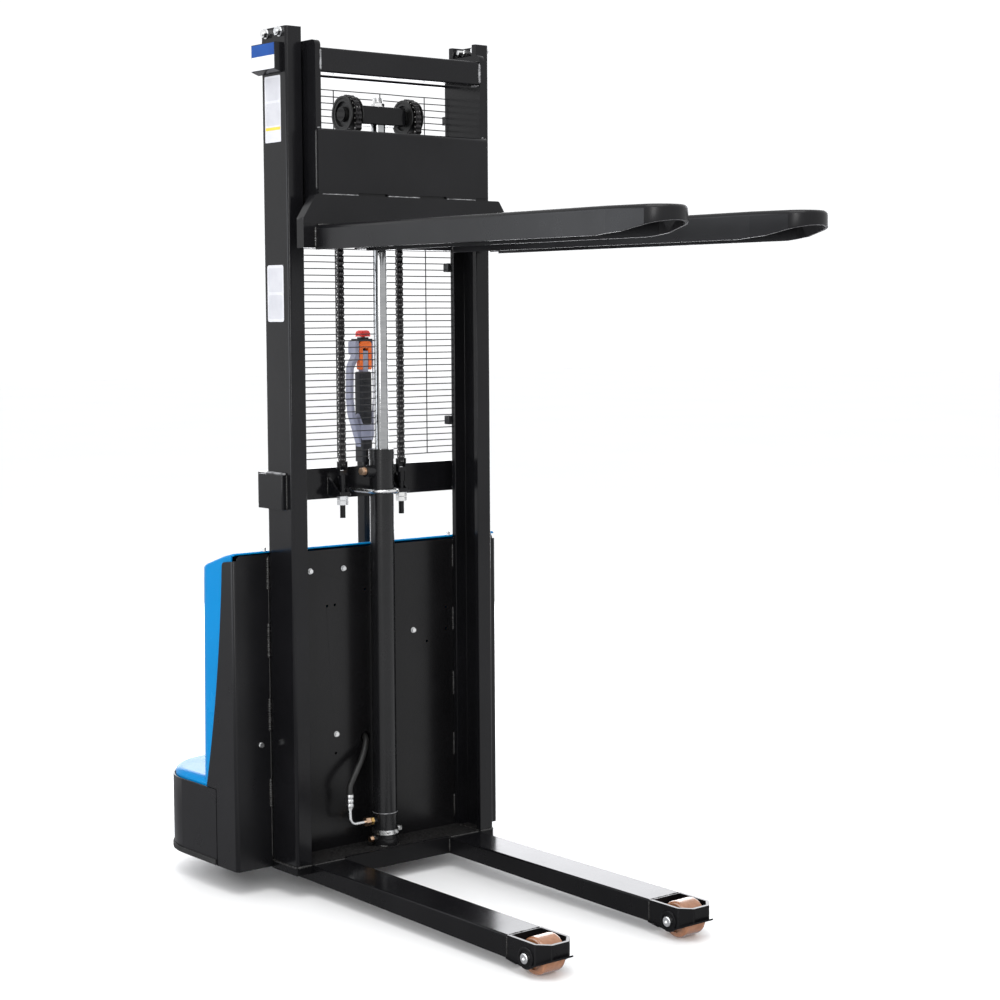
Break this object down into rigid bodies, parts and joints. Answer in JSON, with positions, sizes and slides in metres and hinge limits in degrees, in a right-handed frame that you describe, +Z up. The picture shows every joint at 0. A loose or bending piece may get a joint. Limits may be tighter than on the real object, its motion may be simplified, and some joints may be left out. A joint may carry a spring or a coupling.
{
  "type": "electric stacker",
  "caption": "Walk-behind electric stacker: channel mast with chain lift, pressed forks over support legs, load rollers, folded body with moulded covers and a steering tiller.",
  "frame": {"origin": "on the floor, under the middle of the bounding box", "axes": "+X forward along the forks, +Y to the machine's left, +Z up"},
  "size_m": [1.734, 0.8, 2.062],
  "materials": {
    "black_powder_coat": "satin powder coat",
    "zinc": "bright zinc plate",
    "chrome_rod": "ground hard chrome",
    "brass": "machined",
    "chain_steel": "oiled",
    "sheave_iron": "black",
    "roller_steel": "turned and greased",
    "blue_cover": "semi gloss moulded",
    "black_hose": "matt",
    "tan_polyurethane": "satin",
    "black_rubber": "matt",
    "guard_wire": "satin",
    "blank_plate": "printed in two plain fields",
    "battery_case": "moulded",
    "grey_metal": "cast",
    "grey_plastic": "grained",
    "orange_plastic": "moulded",
    "red_plastic": "moulded",
    "button_plastic": "moulded"
  },
  "bodies": {
    "chassis": {"mast_channel_left": "black_powder_coat", "mast_channel_right": "black_powder_coat", "base_crossmember": "black_powder_coat", "support_leg_left": "black_powder_coat", "support_leg_right": "black_powder_coat", "wheel_brackets": "black_powder_coat", "load_wheel_axles": "roller_steel", "mast_crossbars": "black_powder_coat", "chain_anchors": "zinc", "cylinder_barrel": "black_powder_coat", "cylinder_gland": "black_powder_coat", "cylinder_clamps": "zinc", "brass_fittings": "brass", "lift_hose": "black_hose", "hose_end_tube": "zinc", "firewall_panel": "black_powder_coat", "zinc_fasteners": "zinc", "body_side_left": "black_powder_coat", "body_side_right": "black_powder_coat", "drive_skirt": "black_powder_coat", "cover_upper": "blue_cover", "cover_lower": "blue_cover", "mesh_guard": "guard_wire", "capacity_plate": "blank_plate", "rear_chassis": "black_powder_coat", "battery_pack": "battery_case", "hydraulic_power_unit": "grey_metal", "motor_controller": "grey_metal", "chain_rear_strands": "chain_steel"},
    "carriage": {"carriage_plate_left": "black_powder_coat", "carriage_plate_right": "black_powder_coat", "carriage_top_bar": "black_powder_coat", "carriage_backplate": "black_powder_coat", "fork_carrier": "black_powder_coat", "fork_left": "black_powder_coat", "fork_right": "black_powder_coat", "carriage_chain_lugs": "black_powder_coat"},
    "rollers_upper": {"rollers_upper": "roller_steel"},
    "rollers_lower": {"rollers_lower": "roller_steel"},
    "piston": {"piston_rod": "chrome_rod", "crosshead": "black_powder_coat", "crosshead_nut": "zinc", "chain_wraps": "chain_steel", "chain_front_strands": "chain_steel"},
    "chain_sheaves": {"chain_sheaves": "sheave_iron"},
    "load_wheel_left": {"load_wheel_left": "tan_polyurethane"},
    "load_wheel_right": {"load_wheel_right": "tan_polyurethane"},
    "steering": {"drive_unit": "grey_metal", "tiller_yoke": "black_powder_coat"},
    "drive_wheel": {"drive_wheel": "tan_polyurethane"},
    "castor_fork": {"castor_fork": "zinc"},
    "castor_wheel": {"castor_wheel": "black_rubber"},
    "tiller": {"tiller_arm": "black_powder_coat", "tiller_head": "grey_plastic"},
    "throttle": {"throttle_paddles": "orange_plastic"},
    "belly_button": {"belly_button": "red_plastic"},
    "raise_button": {"raise_button": "button_plastic"},
    "lower_button": {"lower_button": "button_plastic"},
    "estop_button": {"estop_button": "red_plastic"},
    "key_switch": {"key_switch": "zinc"}
  },
  "joints": [
    {"name": "lift", "type": "slide", "parent": "chassis", "child": "carriage", "axis": [0, 0, 1], "range_m": [-1.51, 0], "deforming": ["chain_rear_strands", "chain_front_strands"]},
    {"name": "piston_stroke", "type": "slide", "parent": "chassis", "child": "piston", "axis": [0, 0, 1], "range_m": [-0.7551, 0]},
    {"name": "sheave_turn", "type": "hinge", "parent": "piston", "child": "chain_sheaves", "pos_m": [-0.394, 0, 1.874], "axis": [0, 1, 0], "range_deg": [0, 1090]},
    {"name": "upper_roller_turn", "type": "hinge", "parent": "carriage", "child": "rollers_upper", "pos_m": [-0.391, 0, 1.992], "axis": [0, 1, 0], "range_deg": [-2250, 0]},
    {"name": "lower_roller_turn", "type": "hinge", "parent": "carriage", "child": "rollers_lower", "pos_m": [-0.391, 0, 1.646], "axis": [0, 1, 0], "range_deg": [0, 2250]},
    {"name": "load_wheel_left_spin", "type": "hinge", "parent": "chassis", "child": "load_wheel_left", "pos_m": [0.465, 0.2065, 0.041], "axis": [0, 1, 0], "continuous": true},
    {"name": "load_wheel_right_spin", "type": "hinge", "parent": "chassis", "child": "load_wheel_right", "pos_m": [0.465, -0.2065, 0.041], "axis": [0, 1, 0], "continuous": true},
    {"name": "steer", "type": "hinge", "parent": "chassis", "child": "steering", "pos_m": [-0.689, 0.155, 0.234], "axis": [0, 0, 1], "range_deg": [-90, 90]},
    {"name": "drive_wheel_spin", "type": "hinge", "parent": "steering", "child": "drive_wheel", "pos_m": [-0.689, 0.155, 0.102], "axis": [0, 1, 0], "continuous": true},
    {"name": "castor_swivel", "type": "hinge", "parent": "chassis", "child": "castor_fork", "pos_m": [-0.689, -0.225, 0.224], "axis": [0, 0, 1], "continuous": true},
    {"name": "castor_wheel_spin", "type": "hinge", "parent": "castor_fork", "child": "castor_wheel", "pos_m": [-0.719, -0.225, 0.062], "axis": [0, 1, 0], "continuous": true},
    {"name": "tiller_tilt", "type": "hinge", "parent": "steering", "child": "tiller", "pos_m": [-0.689, 0.155, 0.306], "axis": [0, -1, 0], "range_deg": [0, 80], "stiffness_Nm_per_rad": 34},
    {"name": "throttle_turn", "type": "hinge", "parent": "tiller", "child": "throttle", "pos_m": [-0.689, 0.155, 1.289], "axis": [0, 1, 0], "range_deg": [-12, 12], "stiffness_Nm_per_rad": 0.4},
    {"name": "belly_button_press", "type": "slide", "parent": "tiller", "child": "belly_button", "axis": [0, 0, -1], "range_m": [0, 0.005], "stiffness_N_per_m": 600},
    {"name": "raise_button_press", "type": "slide", "parent": "tiller", "child": "raise_button", "axis": [1, 0, 0], "range_m": [0, 0.003], "stiffness_N_per_m": 500},
    {"name": "lower_button_press", "type": "slide", "parent": "tiller", "child": "lower_button", "axis": [1, 0, 0], "range_m": [0, 0.003], "stiffness_N_per_m": 500},
    {"name": "estop_press", "type": "slide", "parent": "chassis", "child": "estop_button", "axis": [1, 0, 0], "range_m": [0, 0.005]},
    {"name": "key_turn", "type": "hinge", "parent": "chassis", "child": "key_switch", "pos_m": [-0.627, -0.15, 0.684], "axis": [1, 0, 0], "range_deg": [0, 90]}
  ],
  "couplings": [
    {"joint": "piston_stroke", "follows": "lift", "ratio": 0.5},
    {"joint": "sheave_turn", "follows": "lift", "rad_per_m": -12.195},
    {"joint": "upper_roller_turn", "follows": "lift", "rad_per_m": 25.84},
    {"joint": "lower_roller_turn", "follows": "lift", "rad_per_m": -25.84}
  ]
}
